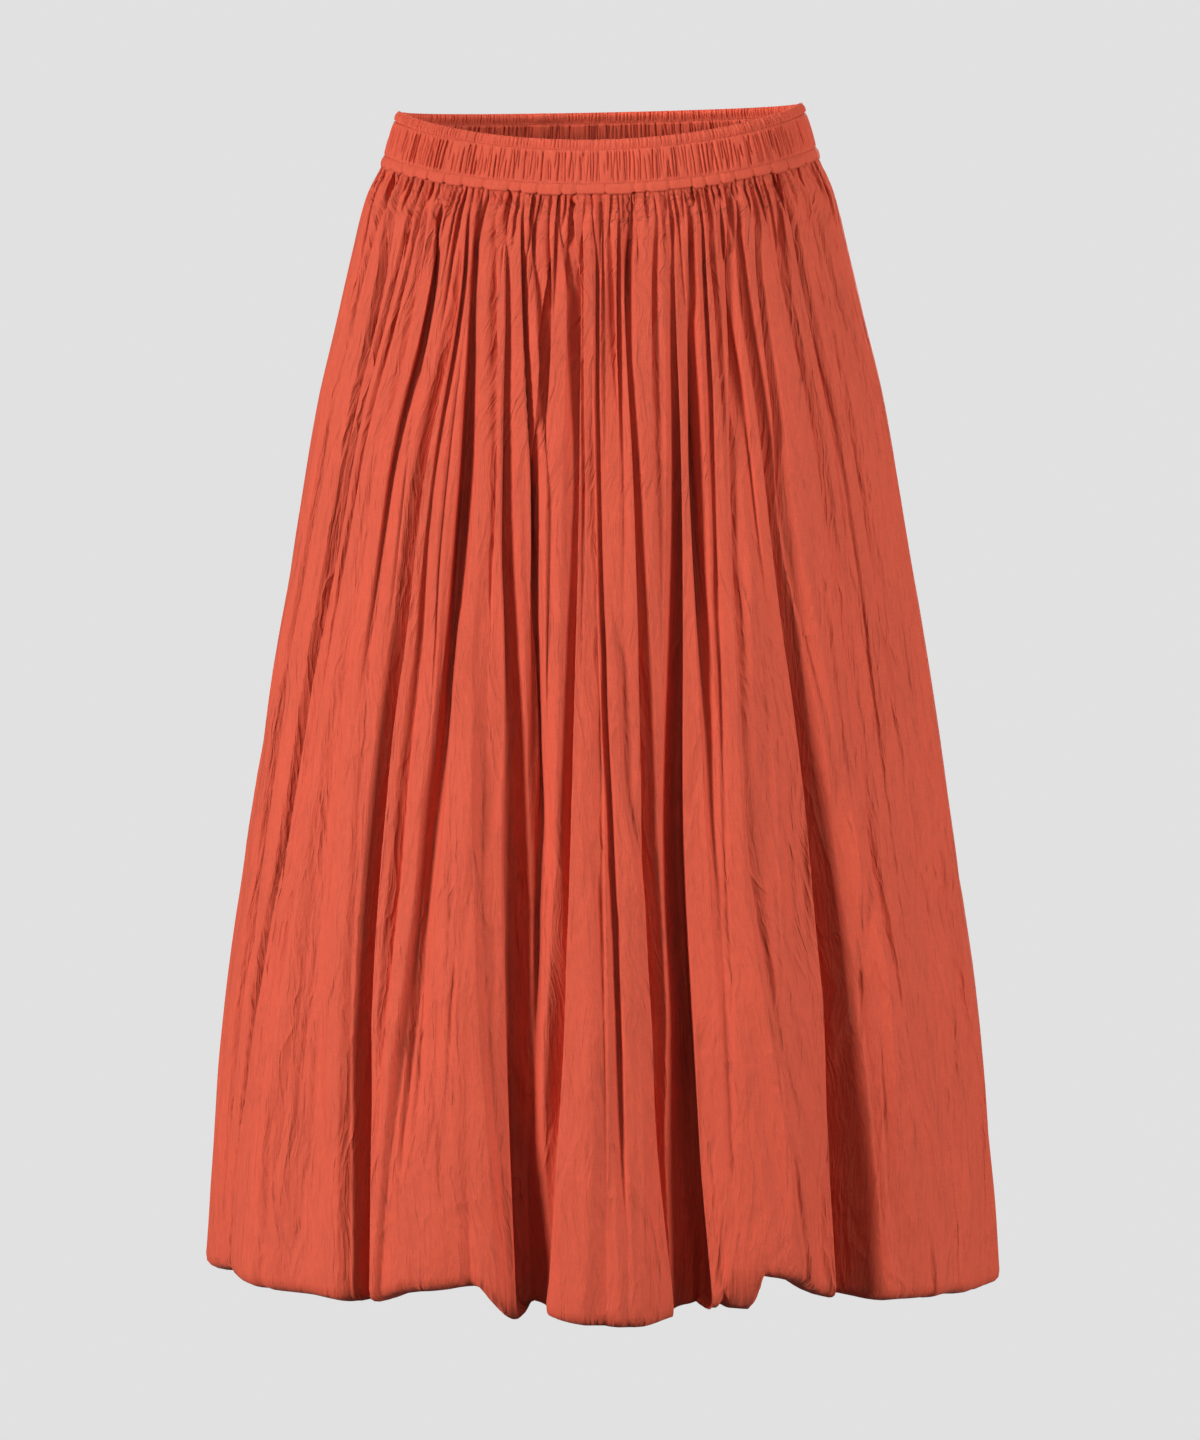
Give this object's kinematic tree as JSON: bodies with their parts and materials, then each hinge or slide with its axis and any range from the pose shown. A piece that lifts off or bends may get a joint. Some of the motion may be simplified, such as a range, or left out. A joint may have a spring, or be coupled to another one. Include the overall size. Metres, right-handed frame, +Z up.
{
  "type": "balloon skirt",
  "caption": "Long gathered balloon skirt, filled out and hollow, with an elastic waistband and a hem that turns under to an inner band.",
  "frame": {"origin": "centre of the waistband ring, at half its height at the side seams", "axes": "+X to the right when the front is seen, the front faces -Y, +Z up the skirt's centre line and out of the waist opening"},
  "size_m": [0.57, 0.3658, 0.8503],
  "materials": {
    "cloth": "matte washed plain-weave cotton in brick red, with a fine vertical crinkle",
    "waistband_cloth": "the same cotton, doubled and finely gathered over elastic, with two stitched lines"
  },
  "bodies": {
    "root": {"front_panel": "cloth", "back_panel": "cloth", "waistband": "waistband_cloth", "hem_band": "cloth"}
  },
  "joints": []
}
